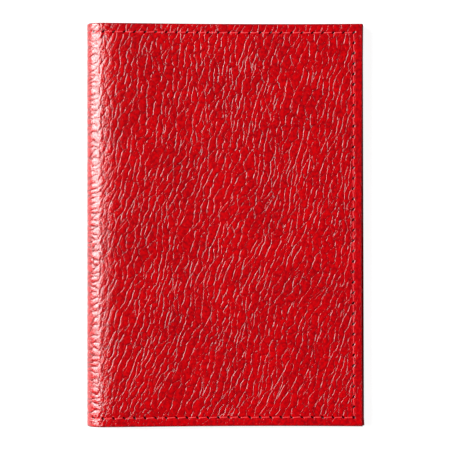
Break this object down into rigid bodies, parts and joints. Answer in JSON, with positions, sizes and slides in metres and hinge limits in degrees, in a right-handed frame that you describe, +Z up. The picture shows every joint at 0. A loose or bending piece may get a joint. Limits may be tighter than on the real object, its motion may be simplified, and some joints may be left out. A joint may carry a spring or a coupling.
{
  "type": "notebook cover",
  "caption": "Slip-on leather cover for a pocket notebook: grained outer leather, sewn pocket flaps, opens flat at a round spine.",
  "frame": {"origin": "centre of the closed cover's outline, on the face it rests on", "axes": "+X from the spine to the fore edge, +Y from tail to head, +Z up out of the front cover"},
  "size_m": [0.0936, 0.136, 0.0104],
  "materials": {
    "outer_leather": "semi-gloss, coarse shrunken grain",
    "flap_leather": "satin, fine grain",
    "lining_cloth": "twill weave",
    "board": "plain fibre board",
    "thread": "twisted, waxed"
  },
  "bodies": {
    "back_cover": {"back_outer_leather": "outer_leather", "back_board": "board", "back_lining": "lining_cloth", "back_pocket_flap": "flap_leather", "back_needle_thread": "thread", "back_bobbin_thread": "thread"},
    "spine_back": {"spine_back_leather": "outer_leather", "spine_back_lining": "lining_cloth", "spine_back_needle_thread": "thread", "spine_back_bobbin_thread": "thread"},
    "spine_front": {"spine_front_leather": "outer_leather", "spine_front_lining": "lining_cloth", "spine_front_needle_thread": "thread", "spine_front_bobbin_thread": "thread"},
    "front_cover": {"front_outer_leather": "outer_leather", "front_board": "board", "front_lining": "lining_cloth", "front_pocket_flap": "flap_leather", "front_needle_thread": "thread", "front_bobbin_thread": "thread"}
  },
  "joints": [
    {"name": "back_fold", "type": "hinge", "parent": "back_cover", "child": "spine_back", "pos_m": [-0.044, 0, 0.00111], "axis": [0, -1, 0], "range_deg": [0, 60.9]},
    {"name": "spine_fold", "type": "hinge", "parent": "spine_back", "child": "spine_front", "pos_m": [-0.04634, 0, 0.00531], "axis": [0, -1, 0], "range_deg": [0, 60.9]},
    {"name": "front_fold", "type": "hinge", "parent": "spine_front", "child": "front_cover", "pos_m": [-0.04381, 0, 0.0094], "axis": [0, -1, 0], "range_deg": [0, 60.9]}
  ],
  "couplings": [
    {"joint": "back_fold", "follows": "front_fold", "ratio": 1},
    {"joint": "spine_fold", "follows": "front_fold", "ratio": 1}
  ]
}
